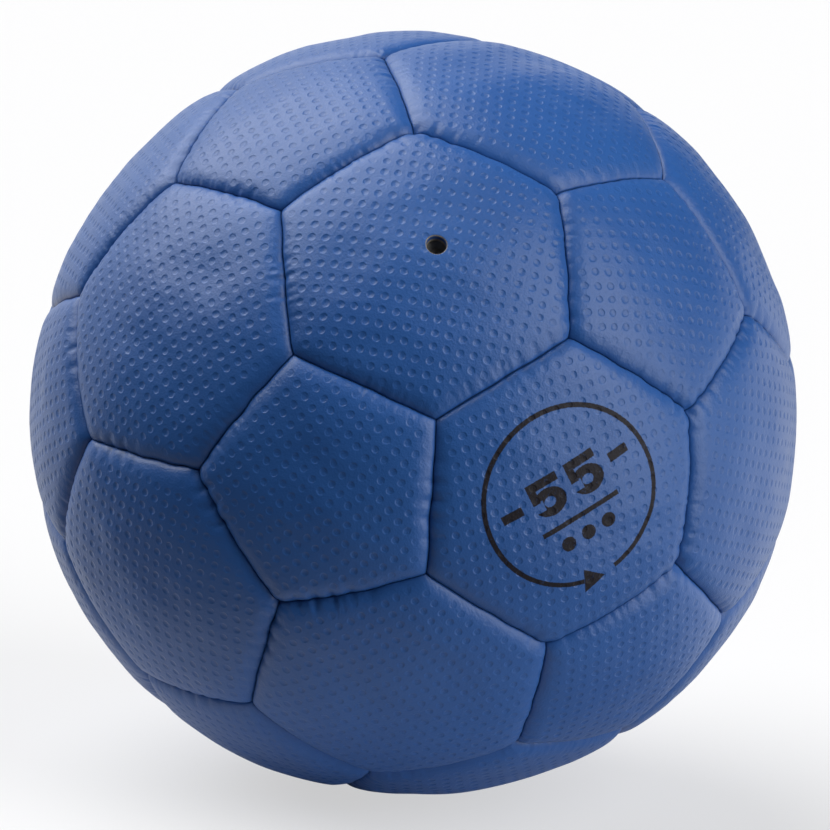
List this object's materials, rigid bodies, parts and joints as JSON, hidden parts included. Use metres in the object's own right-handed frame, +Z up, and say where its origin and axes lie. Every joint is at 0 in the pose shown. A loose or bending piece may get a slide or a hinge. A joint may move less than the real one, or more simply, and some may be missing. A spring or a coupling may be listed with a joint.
{
  "type": "tchoukball ball",
  "caption": "Round hand-sewn ball of blue hexagon and pentagon panels over an inflated bladder, with a needle valve.",
  "frame": {"origin": "centre of the ball", "axes": "X, Y and Z are three square twofold axes of the panel pattern, each through the middle of a seam between two hexagons; the needle hole lies towards +X -Y +Z, and +Z is up as in the picture"},
  "size_m": [0.1746, 0.1746, 0.1746],
  "materials": {
    "skin": "satin, dimpled grain",
    "thread": "waxed",
    "latex": "matte",
    "valve_rubber": "matte",
    "core_rubber": "matte"
  },
  "bodies": {
    "root": {"hexagon_panel_01": "skin", "hexagon_panel_02": "skin", "hexagon_panel_03": "skin", "hexagon_panel_04": "skin", "hexagon_panel_05": "skin", "hexagon_panel_06": "skin", "hexagon_panel_07": "skin", "hexagon_panel_08": "skin", "hexagon_panel_09": "skin", "hexagon_panel_10": "skin", "hexagon_panel_11": "skin", "hexagon_panel_12": "skin", "hexagon_panel_13": "skin", "hexagon_panel_14": "skin", "hexagon_panel_15": "skin", "hexagon_panel_16": "skin", "hexagon_panel_17": "skin", "hexagon_panel_18": "skin", "hexagon_panel_19": "skin", "pentagon_panel_01": "skin", "pentagon_panel_02": "skin", "pentagon_panel_03": "skin", "pentagon_panel_04": "skin", "pentagon_panel_05": "skin", "pentagon_panel_06": "skin", "pentagon_panel_07": "skin", "pentagon_panel_08": "skin", "pentagon_panel_09": "skin", "pentagon_panel_10": "skin", "pentagon_panel_11": "skin", "pentagon_panel_12": "skin", "valve_panel": "skin", "seam_thread": "thread", "bladder": "latex", "valve_body": "valve_rubber", "valve_core": "core_rubber"}
  },
  "joints": []
}
